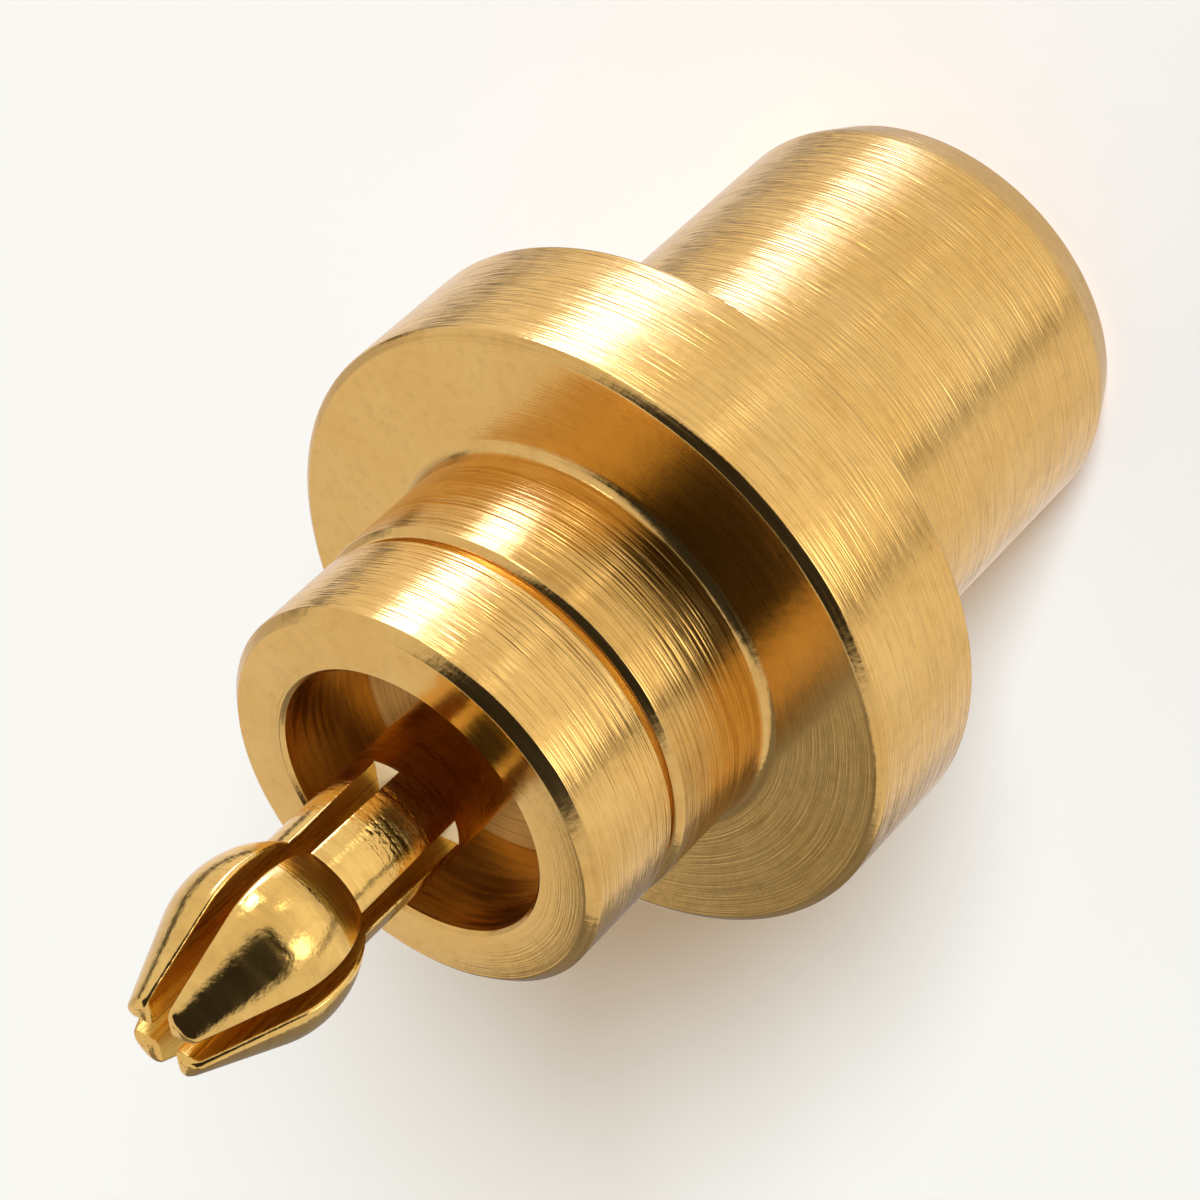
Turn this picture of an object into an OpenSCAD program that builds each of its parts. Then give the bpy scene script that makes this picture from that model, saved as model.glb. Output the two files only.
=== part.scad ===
// Coaxial connector with a slotted spring pin at the front and a wire button contact at the rear.
// The axis is Z. The part stands on its rear end, with the pin up, and z = 0 is the button's free end.

/* [Outer shell] */
// Diameter of the flange
flange_d = 6.8; // [6:0.1:9]
// Thickness of the flange
flange_t = 1.54; // [1:0.02:2.5]
// Width of the chamfer on the flange's front edge, along the radius
flange_edge_w = 0.09; // [0.04:0.01:0.2]
// Height of that chamfer, along the axis
flange_edge_h = 0.07; // [0.02:0.01:0.2]
// Diameter of the rear barrel
barrel_d = 4.6; // [4.2:0.1:5.6]
// Length of the rear barrel, behind the flange
barrel_len = 4.58; // [3.6:0.02:7]
// Length of the lead-in chamfer on the barrel's rear end
barrel_lead_len = 0.45; // [0.1:0.05:0.6]
// Depth of the lead-in chamfer, along the radius
barrel_lead_depth = 0.2; // [0.05:0.05:0.3]
// Diameter of the boss between the flange and the groove
boss_d = 4.24; // [4.1:0.02:5]
// Length of the boss, in front of the flange
boss_len = 1.37; // [0.9:0.01:2.5]
// Chamfer on the boss's front edge
boss_chamfer = 0.065; // [0.02:0.005:0.15]
// Radius of the fillet between the boss and the flange
boss_fillet_r = 0.12; // [0.05:0.01:0.5]
// Width of the groove between the boss and the collar
groove_w = 0.09; // [0.06:0.01:0.3]
// Depth of the groove below the collar
groove_depth = 0.17; // [0.08:0.01:0.22]
// Diameter of the front collar
collar_d = 4.2; // [4:0.02:4.6]
// Length of the front collar
collar_len = 1.21; // [0.8:0.01:2]
// Chamfer on the collar's front edge
collar_chamfer = 0.105; // [0.04:0.005:0.2]
// Length of the narrow lip behind the collar's wall, at the groove
lip_len = 0.1; // [0.04:0.01:0.3]
// How far the lip lies below the collar's wall
lip_drop = 0.02; // [0.01:0.005:0.05]

/* [Bores] */
// Diameter of the open front bore
bore_d = 2.92; // [2.7:0.02:3.1]
// Depth of the front bore, down to the bead
bore_depth = 1.24; // [0.8:0.02:2]
// Chamfer on the mouth of the front bore
bore_break = 0.04; // [0.02:0.01:0.1]
// Width of the shoulder that the bead stops on
bead_shoulder = 0.19; // [0.1:0.01:0.25]

/* [Centre contact] */
// Diameter of the contact's front shank
shank_d = 1.27; // [1.1:0.01:1.5]
// Diameter of the contact's stem, inside the bead
stem_d = 1.0; // [0.8:0.05:1.05]
// Height of the contact's tips above the collar's front face
contact_reach = 3.43; // [3.1:0.01:5]
// Height of the bulb's widest circle above the collar's front face
bulb_height = 2.09; // [1.8:0.01:2.4]
// Diameter of the bulb at its widest
bulb_d = 1.75; // [1.6:0.01:2]
// Radius of the bulb's profile, along the axis
bulb_arc_r = 1.1; // [0.95:0.05:1.4]
// Diameter across the tips, over their rounded edges
tip_d = 0.9; // [0.7:0.02:1.1]
// Rounding of the outer edge of the tips
tip_round = 0.12; // [0.04:0.01:0.14]
// Width of the two saw cuts that part the tines
slot_w = 0.27; // [0.15:0.01:0.32]
// Height of the deeper cut's end above the collar's front face
slot_start = 0.06; // [-0.4:0.02:0.6]
// How much higher the other cut ends
slot_step = 0.12; // [0:0.02:0.4]

/* [Board end] */
// Length of the bush pressed into the barrel
bush_len = 2.0; // [1.4:0.1:3]
// Chamfer on the bush's leading edge
bush_chamfer = 0.12; // [0.05:0.01:0.2]
// Diameter of the rear bead's body
rear_bead_d = 1.68; // [1.4:0.02:2]
// Width of the rim that holds the rear bead in the bush
rear_bead_rim = 0.26; // [0.1:0.02:0.4]
// Thickness of that rim
rear_bead_rim_t = 0.4; // [0.2:0.05:0.6]
// Diameter of the wire button
button_d = 0.51; // [0.4:0.01:0.7]
// Length of the wire button inside the barrel
button_depth = 1.0; // [0.8:0.05:1.3]
// How far the free button stands out of the board face
button_proud = 0.12; // [0.05:0.01:0.25]
// Rounding of the button's ends
button_round = 0.06; // [0.02:0.01:0.12]
// Radial clearance of the button in the rear bead
button_clear = 0.02; // [0.01:0.005:0.05]

/* [Hidden] */
$fn = 96;
// Overlap of cutting shapes past the faces they cut
cut = 0.2;

// Heights along the axis, from the button's free end upwards
rear_z = button_proud;
flange_rear_z = rear_z + barrel_len;
flange_front_z = flange_rear_z + flange_t;
groove_z = flange_front_z + boss_len;
collar_z = groove_z + groove_w;
front_z = collar_z + collar_len;
bead_front_z = front_z - bore_depth;
bush_front_z = rear_z + bush_len;
button_top_z = rear_z + button_depth;
slot_z = front_z + slot_start;
bulb_z = front_z + bulb_height;
tip_z = front_z + contact_reach;

// Diameters that two pieces share
bead_d = bore_d + 2 * bead_shoulder;
rear_rim_d = rear_bead_d + 2 * rear_bead_rim;
button_hole_d = button_d + 2 * button_clear;

// The bulb's profile is an arc about a point beyond the axis
bulb_arc_x = bulb_d / 2 - bulb_arc_r;
neck_z = bulb_z - sqrt(pow(bulb_arc_r, 2) - pow(shank_d / 2 - bulb_arc_x, 2));

// Centre of the rounding of the tips
tip_arc_x = tip_d / 2 - tip_round;
tip_arc_z = tip_z - tip_round;

// The taper touches both arcs, and taper_angle is its slope against the axis
arc_dx = tip_arc_x - bulb_arc_x;
arc_dz = tip_arc_z - bulb_z;
arc_gap = norm([arc_dx, arc_dz]);
taper_angle = atan2(arc_dz, arc_dx) - acos((bulb_arc_r - tip_round) / arc_gap);
taper_r = bulb_arc_x + bulb_arc_r * cos(taper_angle);
taper_z = bulb_z + bulb_arc_r * sin(taper_angle);

// Colours of the plated metal and of the insulating beads
gold = "goldenrod";
bead_plastic = "tan";

// Half section of a ring or disc, from z0 up to z1 and from radius r0 out to r1
module band(z0, z1, r1, r0 = 0) {
    translate([r0, z0])
        square([r1 - r0, z1 - z0]);
}

// Half section of the turned outside of the shell
module shell_outline() {
    groove_r = collar_d / 2 - groove_depth;
    lip_r = collar_d / 2 - lip_drop;
    polygon([
        [0, rear_z],
        [barrel_d / 2 - barrel_lead_depth, rear_z],
        [barrel_d / 2, rear_z + barrel_lead_len],
        [barrel_d / 2, flange_rear_z],
        [flange_d / 2, flange_rear_z],
        [flange_d / 2, flange_front_z - flange_edge_h],
        [flange_d / 2 - flange_edge_w, flange_front_z],
        [boss_d / 2, flange_front_z],
        [boss_d / 2, groove_z - boss_chamfer],
        [boss_d / 2 - boss_chamfer, groove_z],
        [groove_r, groove_z],
        [groove_r, collar_z],
        [lip_r, collar_z],
        [lip_r, collar_z + lip_len],
        [collar_d / 2, collar_z + lip_len],
        [collar_d / 2, front_z - collar_chamfer],
        [collar_d / 2 - collar_chamfer, front_z],
        [0, front_z]
    ]);
    // Fillet in the corner between the boss and the flange
    translate([boss_d / 2, flange_front_z])
        difference() {
            square(boss_fillet_r);
            translate([boss_fillet_r, boss_fillet_r])
                circle(boss_fillet_r);
        }
}

// One turned piece with a flange, a barrel behind it and a grooved collar in front
module outer_shell() {
    color(gold)
        difference() {
            rotate_extrude()
                shell_outline();
            translate([0, 0, bead_front_z - cut])
                cylinder(d = bore_d, h = bore_depth + 2 * cut);
            translate([0, 0, front_z - bore_break])
                cylinder(d1 = bore_d, d2 = bore_d + 2 * bore_break + 2 * cut, h = bore_break + cut);
            translate([0, 0, rear_z - cut])
                cylinder(d = bead_d, h = bead_front_z - rear_z + cut);
        }
}

// Insulating bead that holds the contact, stopped on the shell's shoulder
module front_bead() {
    color(bead_plastic)
        rotate_extrude()
            band(bush_front_z, bead_front_z, bead_d / 2, stem_d / 2);
}

// Half section of the contact, from the button's seat to the tips
module contact_outline() {
    band(button_top_z, bulb_z, button_d / 2);
    band(bush_front_z, bulb_z, stem_d / 2);
    band(bead_front_z, bulb_z, shank_d / 2);
    intersection() {
        translate([bulb_arc_x, bulb_z])
            circle(bulb_arc_r);
        band(neck_z, taper_z, bulb_d);
    }
    polygon([
        [0, bulb_z],
        [taper_r, taper_z],
        [tip_arc_x + tip_round * cos(taper_angle), tip_arc_z + tip_round * sin(taper_angle)],
        [tip_arc_x, tip_arc_z],
        [tip_arc_x, tip_z],
        [0, tip_z]
    ]);
    translate([tip_arc_x, tip_arc_z])
        circle(tip_round);
}

// Spring pin turned from one rod, with two crossed saw cuts of unequal depth that leave four tines
module centre_contact() {
    slot_len = tip_z - slot_z + cut;
    color(gold)
        difference() {
            rotate_extrude()
                contact_outline();
            for (saw_cut = [0, 1])
                rotate(45 + 90 * saw_cut)
                    translate([-bulb_d, -slot_w / 2, slot_z + saw_cut * slot_step])
                        cube([2 * bulb_d, slot_w, slot_len]);
        }
}

// Metal bush that closes the barrel and narrows the line round the button
module rear_bush() {
    rim_z = bush_front_z - rear_bead_rim_t;
    color(gold)
        rotate_extrude()
            polygon([
                [rear_bead_d / 2, rear_z],
                [bead_d / 2, rear_z],
                [bead_d / 2, bush_front_z - bush_chamfer],
                [bead_d / 2 - bush_chamfer, bush_front_z],
                [rear_rim_d / 2, bush_front_z],
                [rear_rim_d / 2, rim_z],
                [rear_bead_d / 2, rim_z]
            ]);
}

// Insulating bead inside the bush, held by its rim, with the button's hole
module rear_bead() {
    color(bead_plastic)
        rotate_extrude() {
            band(rear_z, bush_front_z, rear_bead_d / 2, button_hole_d / 2);
            band(bush_front_z - rear_bead_rim_t, bush_front_z, rear_rim_d / 2, button_hole_d / 2);
        }
}

// Springy wad of fine wire, pressed against the board
module wire_button() {
    color(gold)
        rotate_extrude() {
            band(0, button_top_z, button_d / 2 - button_round);
            band(button_round, button_top_z - button_round, button_d / 2);
            for (z = [button_round, button_top_z - button_round])
                translate([button_d / 2 - button_round, z])
                    circle(button_round);
        }
}

outer_shell();
front_bead();
centre_contact();
rear_bush();
rear_bead();
wire_button();
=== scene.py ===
# Coaxial connector: a gold-plated turned shell with a slotted spring pin, standing on a pale floor.
# Pieces are modelled in millimetres, as they are turned, and then shrunk to metres.
# A name that ends in _r is a radius, and one that ends in _z is a height above the floor.
import math

import bmesh
import bpy
from mathutils import Matrix, Vector


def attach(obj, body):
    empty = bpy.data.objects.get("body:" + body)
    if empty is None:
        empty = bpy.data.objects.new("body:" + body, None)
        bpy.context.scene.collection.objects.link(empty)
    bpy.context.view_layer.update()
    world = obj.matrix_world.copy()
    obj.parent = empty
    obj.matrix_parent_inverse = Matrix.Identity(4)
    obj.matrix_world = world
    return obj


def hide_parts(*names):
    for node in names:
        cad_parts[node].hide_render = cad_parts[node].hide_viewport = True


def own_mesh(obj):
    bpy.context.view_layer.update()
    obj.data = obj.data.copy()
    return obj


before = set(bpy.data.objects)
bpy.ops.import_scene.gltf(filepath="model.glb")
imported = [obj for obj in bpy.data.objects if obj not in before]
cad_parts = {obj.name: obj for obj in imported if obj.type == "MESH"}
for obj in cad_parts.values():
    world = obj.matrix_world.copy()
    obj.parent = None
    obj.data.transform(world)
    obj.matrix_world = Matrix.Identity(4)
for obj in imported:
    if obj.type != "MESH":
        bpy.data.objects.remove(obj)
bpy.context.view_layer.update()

bpy.context.scene.view_settings.view_transform = "Standard"


# Outer shell: barrel, flange, boss, snap groove and collar, turned from one bar and bored from both ends.
# The tool leaves fine rings on every face, and the satin gold plate keeps them.
mm_per_metre = 1000
weld_within = 0.0005
rear_z = 0.12
barrel_r = 2.3
lead_len = 0.45
lead_depth = 0.2
flange_rear_z = 4.7
flange_front_z = 6.24
# A hair under 3.4, so that the fine mesh stays inside the box of the solid's flat facets
flange_r = 3.394
flange_edge_w = 0.09
flange_edge_h = 0.07
boss_r = 2.12
boss_fillet = 0.12
boss_chamfer = 0.065
groove_r = 1.93
groove_rear_z = 7.61
groove_front_z = 7.7
lip_r = 2.08
lip_front_z = 7.8
collar_r = 2.1
collar_chamfer = 0.105
front_z = 8.91
bore_r = 1.46
bore_break = 0.04
bead_front_z = 7.67
bead_r = 1.65
# Corners of the half section from the rear bore round the outside: radius, height, rounding of the edge
shell_corners = [
    (bead_r, rear_z, 0.02),
    (barrel_r - lead_depth, rear_z, 0.06),
    (barrel_r, rear_z + lead_len, 0.3),
    (barrel_r, flange_rear_z, 0.05),
    (flange_r, flange_rear_z, 0.04),
    (flange_r, flange_front_z - flange_edge_h, 0.06),
    (flange_r - flange_edge_w, flange_front_z, 0.06),
    (boss_r, flange_front_z, boss_fillet),
    (boss_r, groove_rear_z - boss_chamfer, 0.04),
    (boss_r - boss_chamfer, groove_rear_z, 0.04),
    (groove_r, groove_rear_z, 0.012),
    (groove_r, groove_front_z, 0.012),
    (lip_r, groove_front_z, 0.012),
    (lip_r, lip_front_z, 0.005),
    (collar_r, lip_front_z, 0.013),
    (collar_r, front_z - collar_chamfer, 0.035),
    (collar_r - collar_chamfer, front_z, 0.035),
    (bore_r + bore_break, front_z, 0.012),
    (bore_r, front_z - bore_break, 0.012),
    (bore_r, bead_front_z, 0.006),
    (bead_r, bead_front_z, 0.006),
]


def rounded(corners, arc_step=math.radians(12)):
    """Points of a closed outline whose corners are tangent arcs of the given radii."""
    points = []
    for index, (radius, height, rounding) in enumerate(corners):
        corner = Vector((radius, height))
        back = (Vector(corners[index - 1][:2]) - corner).normalized()
        ahead = (Vector(corners[(index + 1) % len(corners)][:2]) - corner).normalized()
        half = back.angle(ahead) / 2
        centre = corner + (back + ahead).normalized() * rounding / math.sin(half)
        first = corner + back * rounding / math.tan(half) - centre
        last = corner + ahead * rounding / math.tan(half) - centre
        sweep = -first.angle_signed(last)
        steps = max(2, math.ceil(abs(sweep) / arc_step))
        points += [centre + Matrix.Rotation(sweep * i / steps, 2) @ first for i in range(steps + 1)]
    return points


def to_metres(piece):
    """Shrinks a piece from millimetres to metres and keeps flat faces flat beside their rounded edges."""
    piece.scale = [1 / mm_per_metre] * 3
    bpy.ops.object.transform_apply(location=True, rotation=True, scale=True)
    bpy.ops.object.shade_smooth_by_angle(angle=math.radians(35))
    flat = piece.modifiers.new("Flat faces", "WEIGHTED_NORMAL")
    flat.keep_sharp = True
    bpy.ops.object.modifier_apply(modifier=flat.name)


def turned(name, points, facets=288):
    """A turned piece: its closed half section is drawn from point to point and spun about the axis."""
    bpy.ops.object.select_all(action="DESELECT")
    bpy.ops.mesh.primitive_plane_add(size=1)
    piece = bpy.context.object
    piece.name = piece.data.name = name
    bpy.ops.object.mode_set(mode="EDIT")
    bpy.ops.mesh.merge(type="CENTER")
    here = Vector((0, 0))
    for number, there in enumerate(points + points[:1]):
        move = (there.x - here.x, 0, there.y - here.y)
        if number:
            bpy.ops.mesh.extrude_region_move(TRANSFORM_OT_translate={"value": move})
        else:
            bpy.ops.transform.translate(value=move)
        here = there
    bpy.ops.mesh.select_all(action="SELECT")
    bpy.ops.mesh.remove_doubles(threshold=weld_within)
    bpy.ops.mesh.spin(steps=facets, angle=2 * math.pi, center=(0, 0, 0), axis=(0, 0, 1))
    bpy.ops.mesh.select_all(action="SELECT")
    bpy.ops.mesh.remove_doubles(threshold=weld_within)
    bpy.ops.mesh.normals_make_consistent(inside=False)
    bpy.ops.object.mode_set(mode="OBJECT")
    to_metres(piece)
    return piece


def node(tree, kind, inputs=None, **settings):
    """Adds a shader node, sets its options, and wires or sets its inputs."""
    made = tree.nodes.new("ShaderNode" + kind)
    for name, value in settings.items():
        setattr(made, name, value)
    for socket, value in (inputs or {}).items():
        if isinstance(value, bpy.types.NodeSocket):
            tree.links.new(value, made.inputs[socket])
        else:
            made.inputs[socket].default_value = value
    return made


def new_group(name, inputs, outputs):
    """An empty shader node group with float or vector inputs and float outputs."""
    tree = bpy.data.node_groups.new(name, "ShaderNodeTree")
    for label, value in inputs.items():
        kind = "NodeSocketFloat" if isinstance(value, (int, float)) else "NodeSocketVector"
        tree.interface.new_socket(label, in_out="INPUT", socket_type=kind).default_value = value
    for label in outputs:
        tree.interface.new_socket(label, in_out="OUTPUT", socket_type="NodeSocketFloat")
    return tree, tree.nodes.new("NodeGroupInput").outputs, tree.nodes.new("NodeGroupOutput").inputs


def use_group(tree, group, **inputs):
    """Places a node group in a tree, wires or sets its inputs, and gives its outputs."""
    named = {label.replace("_", " "): value for label, value in inputs.items()}
    return node(tree, "Group", named, node_tree=group).outputs


def place_in_mm(tree):
    """The point on the piece, in millimetres."""
    place = node(tree, "TexCoord").outputs["Object"]
    return node(tree, "VectorMath", {0: place, "Scale": mm_per_metre}, operation="SCALE").outputs[0]


def calc(tree, operation, *values):
    """The result of one sum on numbers and on outputs of other nodes."""
    return node(tree, "Math", dict(enumerate(values)), operation=operation).outputs[0]


def stretched(tree, value, low, high, to_low=0.0, to_high=1.0):
    """A value stretched from one range to another, and held at its ends."""
    ends = {"From Min": low, "From Max": high, "To Min": to_low, "To Max": to_high}
    return node(tree, "MapRange", {"Value": value, **ends}).outputs["Result"]


def mixed(tree, share, first, second):
    """A mix of two colours."""
    colours = {"Factor": share, "A": first, "B": second}
    return node(tree, "Mix", colours, data_type="RGBA").outputs["Result"]


def noise(tree, place, scale, detail, roughness=0.5):
    """Cloudy noise with values round one half."""
    clouds = {"Vector": place, "Scale": scale, "Detail": detail, "Roughness": roughness}
    return node(tree, "TexNoise", clouds).outputs["Fac"]


def new_material(name):
    """An empty material, and its node tree."""
    material = bpy.data.materials.new(name)
    material.use_nodes = True
    material.node_tree.nodes.clear()
    return material, material.node_tree


# Rings that a turning tool leaves: they run round the axis and follow walls, chamfers and faces alike.
# Fine lines lie on broader waves, and the deepest lines hold a little tarnish.
# On flat faces the rings lie closer than on walls.
closer_on_faces = 1.7
broad_share = 0.25
turning_rings, wanted, made = new_group(
    "Turning rings", {"Rings per mm": 34.0, "Breaks per mm": 0.9}, ["Height", "Tarnish"])
xyz = node(turning_rings, "SeparateXYZ", {0: place_in_mm(turning_rings)}).outputs
across = node(turning_rings, "CombineXYZ", {"X": xyz["X"], "Y": xyz["Y"]}).outputs[0]
off_axis = node(turning_rings, "VectorMath", {0: across}, operation="LENGTH").outputs["Value"]
tool_path = calc(turning_rings, "MULTIPLY_ADD", off_axis, closer_on_faces, xyz["Z"])
ring = calc(turning_rings, "MULTIPLY", tool_path, wanted["Rings per mm"])
breaks = {0: across, "Scale": wanted["Breaks per mm"]}
broken = node(turning_rings, "VectorMath", breaks, operation="SCALE").outputs[0]
broken_xyz = node(turning_rings, "SeparateXYZ", {0: broken}).outputs
ring_xyz = {"X": ring, "Y": broken_xyz["X"], "Z": broken_xyz["Y"]}
ring_place = node(turning_rings, "CombineXYZ", ring_xyz).outputs[0]
fine = noise(turning_rings, ring_place, scale=1.0, detail=1.0, roughness=0.6)
broad = noise(turning_rings, ring_place, scale=0.27, detail=1.0)
rings = node(turning_rings, "Mix", {"Factor": broad_share, "A": fine, "B": broad}).outputs["Result"]
turning_rings.links.new(rings, made["Height"])
turning_rings.links.new(stretched(turning_rings, rings, 0.52, 0.36), made["Tarnish"])

# Plating is never even: soft clouds of tone, small brown specks and a slight ripple in the surface
plating, wanted, made = new_group(
    "Plating", {"Clouds per mm": 1.1, "Specks per mm": 7.0, "Ripples per mm": 6.0},
    ["Clouds", "Specks", "Ripple"])
place = place_in_mm(plating)
clouds = noise(plating, place, wanted["Clouds per mm"], detail=5.0, roughness=0.6)
specks = noise(plating, place, wanted["Specks per mm"], detail=3.0, roughness=0.55)
ripple = noise(plating, place, wanted["Ripples per mm"], detail=2.0)
plating.links.new(clouds, made["Clouds"])
plating.links.new(stretched(plating, specks, 0.5, 0.8), made["Specks"])
plating.links.new(ripple, made["Ripple"])

# Stains are a brown made from the plate's deep tone, and specks are stains of a fixed strength
browning = (0.5, 0.4, 0.3, 1)
speck_strength = 0.2


def gold_plate(name, pale, deep, smooth, rough, line_height, ripple_height, grain, tarnish,
               tool=turning_rings, ripples_per_mm=6.0, metallic=1.0, **marks_per_mm):
    """Gold plate with tool marks, clouds and specks. Heights are in metres, and grain is its anisotropy."""
    material, tree = new_material(name)
    marks = use_group(tree, plating, Ripples_per_mm=ripples_per_mm)
    lines = use_group(tree, tool, **marks_per_mm)
    plate = mixed(tree, stretched(tree, marks["Clouds"], 0.3, 0.72), pale, deep)
    specks = calc(tree, "MULTIPLY", marks["Specks"], speck_strength)
    stain = calc(tree, "MULTIPLY_ADD", lines["Tarnish"], tarnish, specks)
    brown = [tone * share for tone, share in zip(deep, browning)]
    colour = mixed(tree, stain, plate, brown)
    gloss = stretched(tree, lines["Height"], 0.3, 0.7, smooth, rough)
    rippled = node(tree, "Bump", {"Height": marks["Ripple"], "Distance": ripple_height}).outputs[0]
    ringed = node(tree, "Bump", {"Height": lines["Height"], "Distance": line_height, "Normal": rippled})
    round_axis = node(tree, "Tangent", direction_type="RADIAL", axis="Z")
    metal = node(tree, "BsdfPrincipled", {
        "Base Color": colour, "Roughness": gloss, "Metallic": metallic, "Anisotropic": grain,
        "Anisotropic Rotation": 0.25, "Normal": ringed.outputs[0], "Tangent": round_axis.outputs[0]})
    node(tree, "OutputMaterial", {"Surface": metal.outputs[0]})
    return material


satin_gold = gold_plate(
    "satin_gold", pale=(0.965, 0.64, 0.217, 1), deep=(0.885, 0.548, 0.152, 1), smooth=0.13, rough=0.25,
    line_height=11e-6, ripple_height=3e-6, grain=0.5, tarnish=0.16, Rings_per_mm=42.0, Breaks_per_mm=1.2)
burnished_gold = gold_plate(
    "burnished_gold", pale=(0.9, 0.6, 0.21, 1), deep=(0.82, 0.51, 0.148, 1), smooth=0.1, rough=0.26,
    line_height=4e-6, ripple_height=3e-6, grain=0.0, tarnish=0.2, ripples_per_mm=12.0)
bored_gold = gold_plate(
    "bored_gold", pale=(0.93, 0.6, 0.14, 1), deep=(0.72, 0.43, 0.08, 1), smooth=0.16, rough=0.34,
    line_height=12e-6, ripple_height=4e-6, grain=0.5, tarnish=0.45, Rings_per_mm=11.0)
groove_gold = gold_plate(
    "groove_gold", pale=(0.95, 0.7, 0.3, 1), deep=(0.9, 0.63, 0.24, 1), smooth=0.18, rough=0.3,
    line_height=3e-6, ripple_height=3e-6, grain=0.0, tarnish=0.1)
# Painted shade: the boss's darker gold stands in for the dark reflections it shows beside the flange
boss_gold_painted_shade = gold_plate(
    "boss_gold_painted_shade", pale=(0.85, 0.54, 0.165, 1), deep=(0.74, 0.44, 0.11, 1), smooth=0.13, rough=0.28,
    line_height=7e-6, ripple_height=3e-6, grain=0.5, tarnish=0.45)
faced_gold = gold_plate(
    "faced_gold", pale=(0.9, 0.594, 0.2, 1), deep=(0.85, 0.53, 0.15, 1), smooth=0.13, rough=0.22,
    line_height=2e-6, ripple_height=2e-6, grain=0.5, tarnish=0.06)
shell = turned("shell", rounded(shell_corners))
shell_finishes = [satin_gold, burnished_gold, bored_gold, groove_gold, boss_gold_painted_shade, faced_gold]
for finish in shell_finishes:
    shell.data.materials.append(finish)
slack = 0.005
boss_slack = 0.003
faced_slope = 0.97
chamfer_slope = 0.25


def shell_finish(face):
    """The finish that a tool left on a face of the shell."""
    height = face.center.z * mm_per_metre
    radius = face.center.xy.length * mm_per_metre
    # The boring bar leaves coarse rings in the bore
    if radius < bore_r + slack:
        return bored_gold
    # The narrow groove is left as the parting tool cut it
    if groove_rear_z - slack < height < groove_front_z + slack and radius < lip_r - 2 * slack:
        return groove_gold
    # Facing leaves the finest rings
    if face.normal.z > faced_slope:
        return faced_gold
    # The form tool leaves the front chamfers and the fillet smoother than the long cuts
    if face.normal.z > chamfer_slope:
        return burnished_gold
    # Painted shade: the boss gets a darker gold, standing in for the dark reflections beside the flange,
    # and its rings hold more tarnish
    if abs(radius - boss_r) < boss_slack and flange_front_z < height < groove_rear_z:
        return boss_gold_painted_shade
    return satin_gold


for face in shell.data.polygons:
    face.material_index = shell_finishes.index(shell_finish(face))
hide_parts("outer_shell")
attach(shell, "connector")


# Front bead: a plain turned ring of beige insulating plastic, pushed in from the rear up to the shoulder.
# Only its front face shows, at the bottom of the bore, with the rings that facing left on it.
stem_r = 0.5
bush_front_z = 2.12
front_bead_corners = [
    (stem_r, bush_front_z, 0.01),
    (bead_r, bush_front_z, 0.02),
    (bead_r, bead_front_z, 0.005),
    (stem_r, bead_front_z, 0.015),
]
# Painted shade: the beige is painted darker and browner than the plastic's own pale colour, standing in for
# the shade at the bottom of the bore
pale_beige_painted_shade = (0.48, 0.27, 0.09, 1)
deep_beige_painted_shade = (0.38, 0.2, 0.055, 1)
dirt = (0.2, 0.1, 0.03, 1)
dirt_strength = 0.35
turned_plastic, tree = new_material("turned_plastic")
marks = use_group(tree, plating, Clouds_per_mm=2.0)
lines = use_group(tree, turning_rings, Rings_per_mm=18.0)
clean = mixed(tree, marks["Clouds"], pale_beige_painted_shade, deep_beige_painted_shade)
beige = mixed(tree, calc(tree, "MULTIPLY", lines["Tarnish"], dirt_strength), clean, dirt)
gloss = stretched(tree, lines["Height"], 0.0, 1.0, 0.35, 0.6)
ringed = node(tree, "Bump", {"Height": lines["Height"], "Distance": 14e-6}).outputs[0]
plastic = node(tree, "BsdfPrincipled", {"Base Color": beige, "Roughness": gloss, "Normal": ringed})
node(tree, "OutputMaterial", {"Surface": plastic.outputs[0]})
front_bead = turned("front_bead_ring", rounded(front_bead_corners))
front_bead.data.materials.append(turned_plastic)
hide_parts("front_bead")
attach(front_bead, "connector")


# Spring pin: one turned rod with a shank, a bulb and a tapered nose, sawn crosswise into four tines.
# It is gold plated, polished and pressed through the front bead, and the plate reaches into the cuts.
tail_r = 0.255
tail_z = 1.12
shank_r = 0.635
deep_z = 8.97
shallow_z = 9.09
slot_half = 0.135
squeeze = 0.025
shank_edge = 0.014
bulb_edge = 0.04
tip_edge = 0.05
bulb_r = 0.875
bulb_z = 11.0
bulb_arc_r = 1.1
tip_r = 0.45
tip_round = 0.12
tip_z = 12.34
tip_inner_round = 0.08
bulb_arc_x = bulb_r - bulb_arc_r
neck_angle = -math.acos((shank_r - bulb_arc_x) / bulb_arc_r)
bulb_neck_z = bulb_z + bulb_arc_r * math.sin(neck_angle)
tip_arc_x = tip_r - tip_round
tip_arc_z = tip_z - tip_round
arc_run = Vector((tip_arc_x - bulb_arc_x, tip_arc_z - bulb_z))
taper_angle = math.atan2(arc_run.y, arc_run.x) - math.acos((bulb_arc_r - tip_round) / arc_run.length)
foot_break = 0.01
below_cuts = 0.4
skin_steps = 20
edge_steps = 5
mouth_steps = 8
shank_steps = 8
bulb_steps = 26
taper_steps = 6
nose_steps = 14


def arc(x, z, radius, start, end, steps):
    """Points on an arc of the half section."""
    angles = [start + (end - start) * i / steps for i in range(steps + 1)]
    return [Vector((x + radius * math.cos(a), z + radius * math.sin(a))) for a in angles]


def cut_half(height):
    """Half width of the saw cuts: the tines are pressed in a little towards the bulb."""
    return slot_half - squeeze * min(1, max(0, (height - shallow_z) / (bulb_z - shallow_z)))


def corner_of_tine(radius, wall, edge):
    """Centre of the rounded edge between a tine's skin and the wall of a saw cut at 45 degrees."""
    inset = wall + edge
    along = math.sqrt((radius - edge) ** 2 - inset ** 2)
    return Vector((along + inset, along - inset)) * math.sqrt(0.5)


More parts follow.
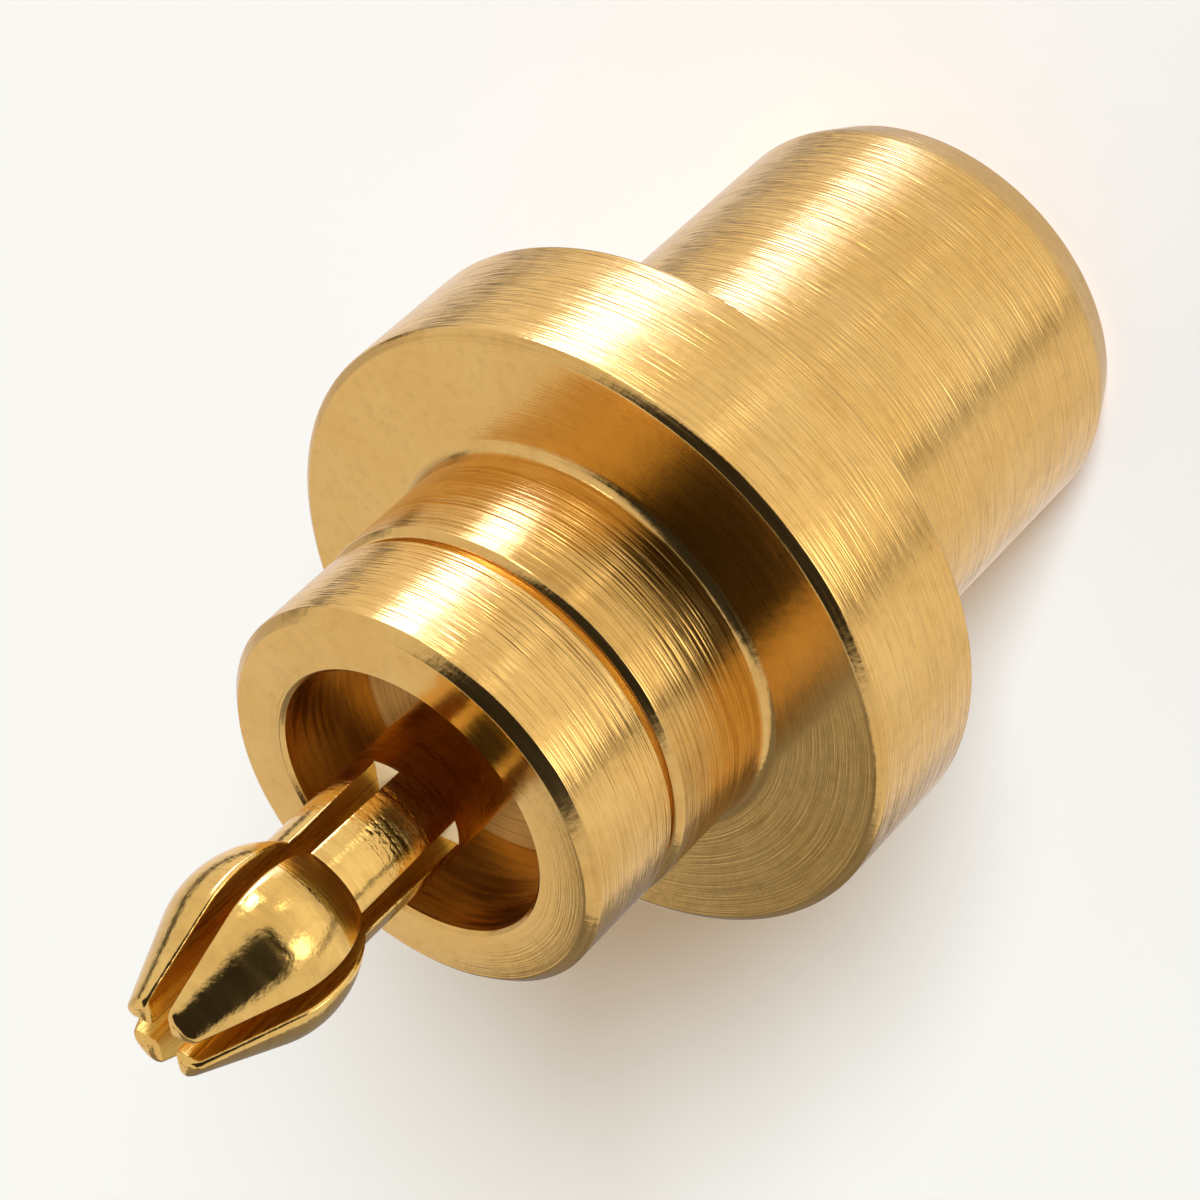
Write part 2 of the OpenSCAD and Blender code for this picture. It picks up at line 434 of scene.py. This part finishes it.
def tine_section(radius, height, wall):
    """Cross-section of the tine that faces +X: the corner on the axis side, an edge, the skin, an edge."""
    rise = min(1, max(0, (height - bulb_neck_z) / (bulb_z - bulb_neck_z)))
    thin = max(0, (height - bulb_z) / (tip_z - bulb_z))
    edge = shank_edge + (bulb_edge - shank_edge) * rise + (tip_edge - bulb_edge) * thin
    centre = corner_of_tine(radius, wall, edge)
    skin_angle = math.atan2(centre.y, centre.x)
    upper = []
    for i in range(edge_steps + 1):
        a = skin_angle + (math.radians(135) - skin_angle) * i / edge_steps
        upper.append((centre.x + edge * math.cos(a), centre.y + edge * math.sin(a), height))
    skin = []
    for i in range(1, skin_steps):
        a = skin_angle * (2 * i / skin_steps - 1)
        skin.append((radius * math.cos(a), radius * math.sin(a), height))
    lower = [(x, -y, z) for x, y, z in reversed(upper)]
    return [(wall * math.sqrt(2), 0, height)] + lower + skin + upper


def rod_section(radius, height):
    """Round cross-section of the rod below the saw cuts, with points where the tines' skins begin."""
    centre = corner_of_tine(shank_r, slot_half, shank_edge)
    skin_angle = math.atan2(centre.y, centre.x)
    mouth = math.pi / 2 - 2 * skin_angle
    ring = []
    for quarter in range(4):
        turn = quarter * math.pi / 2
        ring += [turn + skin_angle * (2 * i / skin_steps - 1) for i in range(skin_steps)]
        ring += [turn + skin_angle + mouth * i / mouth_steps for i in range(mouth_steps)]
    return [(radius * math.cos(a), radius * math.sin(a), height) for a in ring]


def half_section(height):
    """Cross-section of two neighbouring tines where only the deeper cut has parted the rod."""
    tine = tine_section(shank_r, height, slot_half)
    beside = [(y, -x, z) for x, y, z in tine]
    bridge = rod_section(shank_r, height)[-mouth_steps:]
    return beside[:-edge_steps - 1] + bridge + tine[edge_steps + 1:] + tine[:1]


def drawn_up(name, sections):
    """A rod drawn up from section to section by extruding its top face."""
    bpy.ops.object.select_all(action="DESELECT")
    bpy.ops.mesh.primitive_circle_add(vertices=len(sections[0]), radius=1, fill_type="NGON")
    rod = bpy.context.object
    rod.name = rod.data.name = name
    bpy.ops.object.mode_set(mode="EDIT")
    bpy.ops.mesh.select_mode(type="FACE")
    for number, section in enumerate(sections):
        if number:
            bpy.ops.mesh.extrude_region()
        mesh = bmesh.from_edit_mesh(rod.data)
        top = next(face for face in mesh.faces if face.select)
        for vertex, place in zip(top.verts, section):
            vertex.co = place
        bmesh.update_edit_mesh(rod.data)
    bpy.ops.object.mode_set(mode="OBJECT")
    return rod


def open_end(rod, height):
    """Takes off the flat face that closes a rod at a height."""
    bpy.ops.object.mode_set(mode="EDIT")
    bpy.ops.mesh.select_all(action="DESELECT")
    mesh = bmesh.from_edit_mesh(rod.data)
    for face in mesh.faces:
        face.select_set(all(abs(vertex.co.z - height) < 1e-4 for vertex in face.verts))
    bmesh.update_edit_mesh(rod.data)
    bpy.ops.mesh.delete(type="FACE")
    bpy.ops.object.mode_set(mode="OBJECT")


def turned_copies(piece, count):
    """The piece with its copies, spaced evenly about the axis."""
    copies = [piece]
    for step in range(1, count):
        bpy.ops.object.select_all(action="DESELECT")
        piece.select_set(True)
        bpy.context.view_layer.objects.active = piece
        bpy.ops.object.duplicate()
        copies.append(bpy.context.object)
        copies[-1].data.transform(Matrix.Rotation(2 * math.pi * step / count, 4, "Z"))
    return copies


rod_outline = [
    (tail_r, tail_z),
    (tail_r, bush_front_z),
    (stem_r, bush_front_z),
    (stem_r, bead_front_z),
    (shank_r - foot_break, bead_front_z),
    (shank_r, bead_front_z + foot_break),
    (shank_r, deep_z - below_cuts),
    (shank_r, deep_z),
]
rod = drawn_up("spring_pin", [rod_section(radius, height) for radius, height in rod_outline])
open_end(rod, deep_z)
half = drawn_up("half_rod", [half_section(deep_z), half_section(shallow_z)])
open_end(half, deep_z)
open_end(half, shallow_z)

tine_rise = bulb_neck_z - shallow_z
tine_outline = [Vector((shank_r, shallow_z + tine_rise * i / shank_steps)) for i in range(shank_steps)]
tine_outline += arc(bulb_arc_x, bulb_z, bulb_arc_r, neck_angle, taper_angle, bulb_steps)
taper_start = tine_outline[-1]
taper_end = arc(tip_arc_x, tip_arc_z, tip_round, taper_angle, taper_angle, 1)[0]
tine_outline += [taper_start.lerp(taper_end, i / taper_steps) for i in range(1, taper_steps)]
nose = arc(tip_arc_x, tip_arc_z, tip_round, taper_angle, math.pi / 2, nose_steps)
sections = [tine_section(point.x, point.y, cut_half(point.y)) for point in tine_outline]
for point in nose:
    # The inner edges of the tip are rounded too: the walls lean back over the last of the height
    rise = min(1, max(0, 1 - (tip_z - point.y) / tip_inner_round))
    lean = tip_inner_round * (1 - math.sqrt(1 - rise ** 2))
    sections.append(tine_section(point.x, point.y, cut_half(point.y) + lean))
tine = drawn_up("tine", sections)
open_end(tine, shallow_z)
for piece in turned_copies(half, 2) + turned_copies(tine, 4) + [rod]:
    piece.select_set(True)
bpy.context.view_layer.objects.active = rod
bpy.ops.object.join()
bpy.ops.object.mode_set(mode="EDIT")
bpy.ops.mesh.select_mode(type="VERT")
bpy.ops.mesh.select_all(action="SELECT")
bpy.ops.mesh.remove_doubles(threshold=weld_within)
# The open edges left at the foot of the tines bound the floors of the crossed saw cuts
bpy.ops.mesh.select_all(action="DESELECT")
bpy.ops.mesh.select_non_manifold(extend=False, use_wire=False, use_multi_face=False,
                                 use_non_contiguous=False, use_verts=False)
bpy.ops.mesh.edge_face_add()
bpy.ops.mesh.select_all(action="SELECT")
bpy.ops.mesh.normals_make_consistent(inside=False)
if bmesh.from_edit_mesh(rod.data).calc_volume(signed=True) < 0:
    bpy.ops.mesh.flip_normals()
bpy.ops.object.mode_set(mode="OBJECT")
# A saw leaves lines along the tines, on the walls that it cuts and on the floor where it stops
saw_lines, wanted, made = new_group(
    "Saw lines", {"Lines per mm": 22.0, "Breaks per mm": 0.9}, ["Height", "Tarnish"])
xyz = node(saw_lines, "SeparateXYZ", {0: place_in_mm(saw_lines)}).outputs
line_xyz = {}
for axis, count in (("X", "Lines per mm"), ("Y", "Lines per mm"), ("Z", "Breaks per mm")):
    line_xyz[axis] = calc(saw_lines, "MULTIPLY", xyz[axis], wanted[count])
line_place = node(saw_lines, "CombineXYZ", line_xyz).outputs[0]
sawn = noise(saw_lines, line_place, scale=1.0, detail=3.0, roughness=0.6)
saw_lines.links.new(sawn, made["Height"])
saw_lines.links.new(stretched(saw_lines, sawn, 0.5, 0.32), made["Tarnish"])
polished_gold = gold_plate(
    "polished_gold", pale=(0.96, 0.65, 0.205, 1), deep=(0.89, 0.56, 0.15, 1), smooth=0.07, rough=0.2,
    line_height=2e-6, ripple_height=3e-6, grain=0.2, tarnish=0.15, ripples_per_mm=14.0, Rings_per_mm=26.0)
sawn_gold = gold_plate(
    "sawn_gold", pale=(0.86, 0.58, 0.13, 1), deep=(0.76, 0.47, 0.09, 1), smooth=0.2, rough=0.4,
    line_height=6e-6, ripple_height=2e-6, grain=0.0, tarnish=0.45, tool=saw_lines)
sawn_floor_gold = gold_plate(
    "sawn_floor_gold", pale=(0.93, 0.8, 0.54, 1), deep=(0.88, 0.72, 0.44, 1), smooth=0.45, rough=0.6,
    line_height=3e-6, ripple_height=2e-6, grain=0.0, tarnish=0.1, tool=saw_lines, metallic=0.15)
# Painted reflection: a brighter, more amber gold stands in for the warm light that the neck reflects
neck_gold_painted_reflection = gold_plate(
    "neck_gold_painted_reflection", pale=(1.0, 0.62, 0.1, 1), deep=(0.94, 0.53, 0.06, 1), smooth=0.16, rough=0.3,
    line_height=2e-6, ripple_height=3e-6, grain=0.2, tarnish=0.15, Rings_per_mm=26.0)
pin_finishes = [polished_gold, sawn_gold, sawn_floor_gold, neck_gold_painted_reflection]
for finish in pin_finishes:
    rod.data.materials.append(finish)
across_cuts = (Vector((1, 1, 0)).normalized(), Vector((1, -1, 0)).normalized())
touching = 0.002
square_on = 0.9
neck_len = 0.42


def pin_finish(face):
    """The finish of a face of the pin, which is still in millimetres."""
    height = face.center.z
    for across in across_cuts:
        off_wall = abs(abs(face.center.dot(across)) - cut_half(height))
        if height > deep_z and off_wall < touching and abs(face.normal.dot(across)) > square_on:
            return sawn_gold
    off_floor = min(abs(height - deep_z), abs(height - shallow_z))
    if off_floor < touching and face.normal.z > square_on:
        return sawn_floor_gold
    # Painted reflection: the neck behind the bulb gets a brighter, more amber and rougher gold, standing in
    # for the warm light that it reflects
    if 0 < height - bulb_neck_z < neck_len:
        return neck_gold_painted_reflection
    return polished_gold


for face in rod.data.polygons:
    face.material_index = pin_finishes.index(pin_finish(face))
to_metres(rod)
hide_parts("centre_contact")
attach(rod, "connector")


# Rear bush: a short turned ring pressed into the barrel, flush with its rear face.
# It is gold plated like the shell and narrows the line round the wire wad.
rear_bead_r = 0.84
rear_rim_r = 1.1
rim_z = 1.72
bush_chamfer = 0.12
rear_bush_corners = [
    (rear_bead_r, rear_z, 0.02),
    (bead_r, rear_z, 0.03),
    (bead_r, bush_front_z - bush_chamfer, 0.02),
    (bead_r - bush_chamfer, bush_front_z, 0.02),
    (rear_rim_r, bush_front_z, 0.01),
    (rear_rim_r, rim_z, 0.01),
    (rear_bead_r, rim_z, 0.01),
]
rear_bush = turned("rear_bush_ring", rounded(rear_bush_corners), facets=192)
rear_bush.data.materials.append(satin_gold)
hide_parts("rear_bush")
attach(rear_bush, "connector")


# Rear bead: a small plastic bead with a rim, trapped in the bush, flush with the board face.
# Its hole guides the wire wad.
wad_hole_r = 0.275
rear_bead_corners = [
    (wad_hole_r, rear_z, 0.02),
    (rear_bead_r, rear_z, 0.01),
    (rear_bead_r, rim_z, 0.01),
    (rear_rim_r, rim_z, 0.01),
    (rear_rim_r, bush_front_z, 0.01),
    (wad_hole_r, bush_front_z, 0.01),
]
rear_bead = turned("rear_bead_ring", rounded(rear_bead_corners), facets=144)
# The rear bead shares the front bead's plastic, with its painted shade
rear_bead.data.materials.append(turned_plastic)
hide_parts("rear_bead")
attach(rear_bead, "connector")


# Wire wad: one length of fine gold-plated wire, crumpled into a springy plug in the rear bead's hole.
# Its free end stands out of the board face and is pressed in by the board's pad.
wad_top_z = 1.12
wire_r = 0.024
plug_r = 0.25
wad_r = plug_r - wire_r
# The wire winds round the axis and sways, dips in towards the axis, and passes up and down with kinks
wire_points = 1100
turns = 27
sway = 0.6
sways = 8.3
dips = 15.7
least_reach = 0.1
passes = 7.5
kink = 0.08
kinks = 20.5
full_turn = 2 * math.pi
bpy.ops.object.select_all(action="DESELECT")
bpy.ops.curve.primitive_nurbs_path_add()
wad = bpy.context.object
wad.name = wad.data.name = "wire_wad"
wad.data.splines.clear()
strand = wad.data.splines.new("POLY")
strand.points.add(wire_points - 1)
for index, point in enumerate(strand.points):
    share = index / (wire_points - 1)
    turn = full_turn * (turns * share + sway * math.sin(full_turn * sways * share))
    reach = wad_r * (least_reach + (1 - least_reach) * abs(math.sin(full_turn * dips * share)))
    swing = (0.5 - kink) * math.cos(full_turn * passes * share)
    height = 0.5 - swing - kink * math.cos(full_turn * kinks * share)
    level = wire_r + (wad_top_z - 2 * wire_r) * height
    point.co = (reach * math.cos(turn), reach * math.sin(turn), level, 1)
wad.data.bevel_depth = wire_r
wad.data.bevel_resolution = 1
wad.data.use_fill_caps = True
bpy.ops.object.convert(target="MESH")
to_metres(wad)
wire_gold = gold_plate(
    "wire_gold", pale=(0.86, 0.54, 0.18, 1), deep=(0.7, 0.4, 0.11, 1), smooth=0.22, rough=0.34,
    line_height=1e-6, ripple_height=2e-6, grain=0.0, tarnish=0.2, Rings_per_mm=30.0)
wad.data.materials.append(wire_gold)
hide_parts("wire_button")
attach(wad, "button")
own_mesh(wad)


# Floor: a wide sheet of warm paper that the cool lamp turns pale. From below it is see-through,
# so that the board end can be looked at. The metal mirrors the studio round it and not the paper.
bpy.ops.object.select_all(action="DESELECT")
bpy.ops.mesh.primitive_plane_add(size=2)
floor = bpy.context.object
floor.name = "floor"
floor.visible_glossy = False
floor.visible_shadow = False
paper, tree = new_material("pale_paper")
matt = node(tree, "BsdfDiffuse", {"Color": (0.97, 0.74, 0.44, 1)})
clear = node(tree, "BsdfTransparent")
below = node(tree, "NewGeometry").outputs["Backfacing"]
sheet = node(tree, "MixShader", {0: below, 1: matt.outputs[0], 2: clear.outputs[0]})
node(tree, "OutputMaterial", {"Surface": sheet.outputs[0]})
floor.data.materials.append(paper)


# Studio: pale walls all round, with a dark panel on the camera's side and a few soft cards.
# Each card is a patch of the surroundings, given by where its middle lies and by its half sizes.
# Studio and camera are turned about the axis by a few degrees, past the nearest tine.
view_turn = 7


def towards(azimuth, elevation):
    """A direction in the studio, in degrees. The camera stands on the side of azimuth -90."""
    turn = math.radians(azimuth + view_turn)
    rise = math.radians(elevation)
    return Vector((math.cos(turn) * math.cos(rise), math.sin(turn) * math.cos(rise), math.sin(rise)))


def dot(tree, first, second):
    """The dot product of two vectors."""
    return node(tree, "VectorMath", {0: first, 1: second}, operation="DOT_PRODUCT").outputs["Value"]


# A card shows only to directions that lie ahead of its plane by at least this much
least_ahead = 0.02
card_mask, wanted, made = new_group("Studio card", {
    "Direction": (0, 0, 1), "Facing": (0, 0, 1), "Sideways": (1, 0, 0), "Upwards": (0, 1, 0),
    "Half width": 0.5, "Half height": 0.5, "Softness": 0.1}, ["Mask"])
ahead = dot(card_mask, wanted["Direction"], wanted["Facing"])
mask = calc(card_mask, "GREATER_THAN", ahead, least_ahead)
for side, size in (("Sideways", "Half width"), ("Upwards", "Half height")):
    slope = calc(card_mask, "DIVIDE", dot(card_mask, wanted["Direction"], wanted[side]), ahead)
    inside = calc(card_mask, "SUBTRACT", wanted[size], calc(card_mask, "ABSOLUTE", slope))
    soft = calc(card_mask, "DIVIDE", inside, wanted["Softness"])
    edge = node(card_mask, "MapRange", {"Value": soft, "From Min": -1.0}, interpolation_type="SMOOTHSTEP")
    mask = calc(card_mask, "MULTIPLY", mask, edge.outputs["Result"])
card_mask.links.new(mask, made["Mask"])

studio = bpy.data.worlds.new("studio")
bpy.context.scene.world = studio
studio.use_nodes = True
tree = studio.node_tree
tree.nodes.clear()
looking = node(tree, "TexCoord").outputs["Generated"]


def card(azimuth, elevation, half_width, half_height, softness):
    """Mask of a card that hangs in the studio."""
    facing = towards(azimuth, elevation)
    sideways = towards(azimuth + 90, 0)
    hung = use_group(tree, card_mask, Direction=looking, Facing=facing, Sideways=sideways,
                     Upwards=facing.cross(sideways), Half_width=half_width, Half_height=half_height,
                     Softness=softness)
    return hung["Mask"]


def lay(behind, mask, level):
    """Lays a card of a brightness over what lies behind it, and gives the new brightness."""
    return node(tree, "Mix", {"Factor": mask, "A": behind, "B": level}).outputs["Result"]


walls = 0.93
# Behind the object hang a low grey card, a tall dark one and a small grey one
light = lay(walls, card(155, -30, half_width=0.6, half_height=0.12, softness=0.12), 0.68)
light = lay(light, card(122, 8, half_width=0.47, half_height=0.995, softness=0.03), 0.3)
light = lay(light, card(48, 6, half_width=0.3, half_height=0.25, softness=0.2), 0.68)
# A pale card lies low on the camera's side
light = lay(light, card(-110, -32, half_width=0.4, half_height=0.35, softness=0.3), 1.06)
# Two narrow dark strips are mirrored as dark bands along the turned walls
light = lay(light, card(34, -20, half_width=0.09, half_height=0.7, softness=0.06), 0.14)
light = lay(light, card(-142, -38, half_width=0.06, half_height=0.3, softness=0.05), 0.35)
# The walls are brightest a good way below the horizon
brightest = -0.62
level = node(tree, "SeparateXYZ", {0: looking}).outputs["Z"]
low = stretched(tree, level, -0.8, brightest, 0.72, 1.0)
high = stretched(tree, level, brightest, -0.3, 1.0, 0.83)
light = calc(tree, "MULTIPLY", light, calc(tree, "MULTIPLY", low, high))
# The dark panel hangs above the camera, and the front faces and chamfers mirror it
light = lay(light, card(-108, 52, half_width=0.76, half_height=1.3, softness=0.2), 0.03)
# A tall bluish window with a brighter middle gives the white bands along the turned walls
window = card(-22, -28.5, half_width=0.18, half_height=0.43, softness=0.1)
light = lay(light, window, 1.7)
light = lay(light, card(-22, -20, half_width=0.14, half_height=0.26, softness=0.09), 6.0)
# Three small bright cards give the shorter glints
light = lay(light, card(-75, -24, half_width=0.05, half_height=0.1, softness=0.05), 2.0)
light = lay(light, card(-46, -9, half_width=0.1, half_height=0.13, softness=0.05), 8.0)
light = lay(light, card(-124, -12, half_width=0.18, half_height=0.13, softness=0.11), 3.5)
wall_tint = (1.0, 0.935, 0.92, 1)
window_tint = (1.0, 1.1, 2.0, 1)
tint = mixed(tree, window, wall_tint, window_tint)
# The camera itself sees an even backdrop and not the cards
seen = node(tree, "LightPath").outputs["Is Camera Ray"]
surroundings = node(tree, "Background", {"Color": tint, "Strength": light})
backdrop = node(tree, "Background", {"Color": (0.94, 0.93, 0.896, 1), "Strength": 1.0})
air = node(tree, "MixShader", {0: seen, 1: surroundings.outputs[0], 2: backdrop.outputs[0]})
node(tree, "OutputWorld", {"Surface": air.outputs[0]})


# Lamp: a cool soft lamp beside the camera that lights only the paper and throws the object's shadow there.
# In that shadow the warm paper has only the light of the studio, so it looks brown.
bpy.ops.object.light_add(type="SUN")
lamp = bpy.context.object
lamp.name = "lamp"
lamp.rotation_euler = towards(-79.5, 28).to_track_quat("Z", "Y").to_euler()
lamp.data.angle = math.radians(19)
lamp.data.color = (0.335, 0.52, 0.97)
lamp.data.energy = 11.3
lit_by_lamp = bpy.data.collections.new("lit_by_lamp")
lit_by_lamp.objects.link(floor)
lamp.light_linking.receiver_collection = lit_by_lamp


# Fill lamp: a weak warm lamp above the camera that reaches into the bore and lights the beads and the pin.
# The polished metal doesn't mirror it.
bpy.ops.object.light_add(type="SUN")
fill = bpy.context.object
fill.name = "fill_lamp"
fill.rotation_euler = towards(-90, 40).to_track_quat("Z", "Y").to_euler()
fill.visible_glossy = False
fill.data.angle = math.radians(20)
fill.data.color = (1.0, 0.93, 0.8)
fill.data.energy = 3.2
lit_by_fill = bpy.data.collections.new("lit_by_fill")
for piece in (front_bead, rear_bead, rod):
    lit_by_fill.objects.link(piece)
fill.light_linking.receiver_collection = lit_by_fill


# Camera: it looks down past the pin from about four centimetres, rolled so that the pin points to the
# lower left of the picture.
# It stands a little to one side of the nearest tine.
beside_tine = Matrix.Rotation(math.radians(view_turn), 3, "Z")
camera_place = beside_tine @ Vector((0, -31.234, 28.113)) / mm_per_metre
camera_aim = beside_tine @ Vector((0.143, 0, 5.774)) / mm_per_metre
camera_roll = math.radians(-133.585)
bpy.ops.object.camera_add()
camera = bpy.context.object
level_view = (camera_aim - camera_place).to_track_quat("-Z", "Y").to_matrix().to_4x4()
camera.matrix_world = Matrix.Translation(camera_place) @ level_view @ Matrix.Rotation(camera_roll, 4, "Z")
camera.data.sensor_width = 36
camera.data.lens = 120.903
camera.data.clip_start = 0.001
camera.data.clip_end = 5
bpy.context.scene.camera = camera
